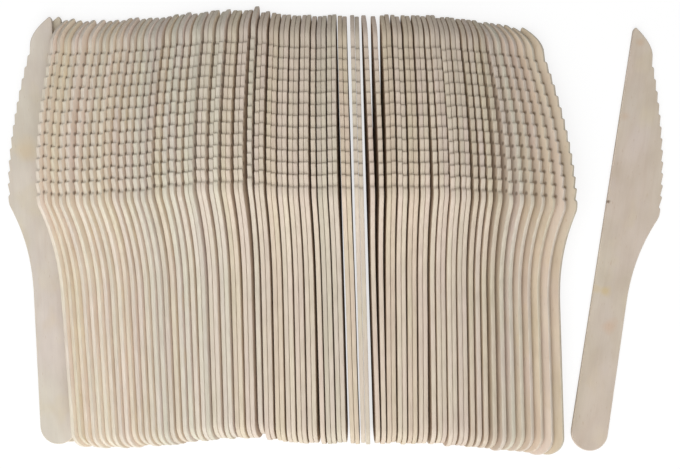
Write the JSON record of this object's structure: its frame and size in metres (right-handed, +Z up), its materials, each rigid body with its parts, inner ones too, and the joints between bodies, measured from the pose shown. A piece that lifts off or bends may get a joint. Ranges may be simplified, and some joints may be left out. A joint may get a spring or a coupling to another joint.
{
  "type": "pack of bamboo knives",
  "caption": "Row of thin flat bamboo knives standing on their backs with saw edges up, fanned at both ends, and one knife lying loose beside them.",
  "frame": {"origin": "middle of the whole pack's bounding box, on the surface that it lies on", "axes": "+X along the row towards the loose knife, +Y from the handles to the tips, +Z up"},
  "size_m": [0.2536, 0.1734, 0.0213],
  "materials": {
    "bamboo_cream": "raw sanded bamboo strip, creamy",
    "bamboo_straw": "raw sanded bamboo strip, straw",
    "bamboo_rose": "raw sanded bamboo strip, slightly pink",
    "bamboo_sage": "raw sanded bamboo strip, slightly green"
  },
  "bodies": {
    "root": {"flat_knife_lower": "bamboo_cream", "flat_knife_upper": "bamboo_sage", "loose_knife": "bamboo_rose", "row_knife_01": "bamboo_cream", "row_knife_02": "bamboo_straw", "row_knife_03": "bamboo_straw", "row_knife_04": "bamboo_cream", "row_knife_05": "bamboo_cream", "row_knife_06": "bamboo_cream", "row_knife_07": "bamboo_rose", "row_knife_08": "bamboo_cream", "row_knife_09": "bamboo_cream", "row_knife_10": "bamboo_straw", "row_knife_11": "bamboo_rose", "row_knife_12": "bamboo_rose", "row_knife_13": "bamboo_cream", "row_knife_14": "bamboo_sage", "row_knife_15": "bamboo_sage", "row_knife_16": "bamboo_rose", "row_knife_17": "bamboo_straw", "row_knife_18": "bamboo_sage", "row_knife_19": "bamboo_sage", "row_knife_20": "bamboo_cream", "row_knife_31": "bamboo_sage", "row_knife_42": "bamboo_rose", "row_knife_51": "bamboo_rose", "row_knife_52": "bamboo_rose", "row_knife_61": "bamboo_cream", "row_knife_68": "bamboo_straw", "row_knife_69": "bamboo_rose", "row_knife_70": "bamboo_straw", "row_knife_71": "bamboo_straw", "row_knife_72": "bamboo_cream", "row_knife_73": "bamboo_sage", "row_knife_74": "bamboo_cream", "row_knife_75": "bamboo_rose", "row_knife_76": "bamboo_straw", "row_knife_77": "bamboo_cream", "row_knife_78": "bamboo_straw", "row_knives_21_22": "bamboo_sage", "row_knives_23_24": "bamboo_cream", "row_knives_25_26": "bamboo_sage", "row_knives_27_28": "bamboo_straw", "row_knives_29_30": "bamboo_rose", "row_knives_32_33": "bamboo_rose", "row_knives_34_35": "bamboo_straw", "row_knives_36_37": "bamboo_cream", "row_knives_38_39": "bamboo_rose", "row_knives_40_41": "bamboo_cream", "row_knives_43_44": "bamboo_sage", "row_knives_45_46": "bamboo_sage", "row_knives_47_48": "bamboo_straw", "row_knives_49_50": "bamboo_sage", "row_knives_53_54": "bamboo_straw", "row_knives_55_56": "bamboo_cream", "row_knives_57_58": "bamboo_straw", "row_knives_59_60": "bamboo_rose", "row_knives_62_63": "bamboo_rose", "row_knives_64_65": "bamboo_cream", "row_knives_66_67": "bamboo_rose"}
  },
  "joints": []
}
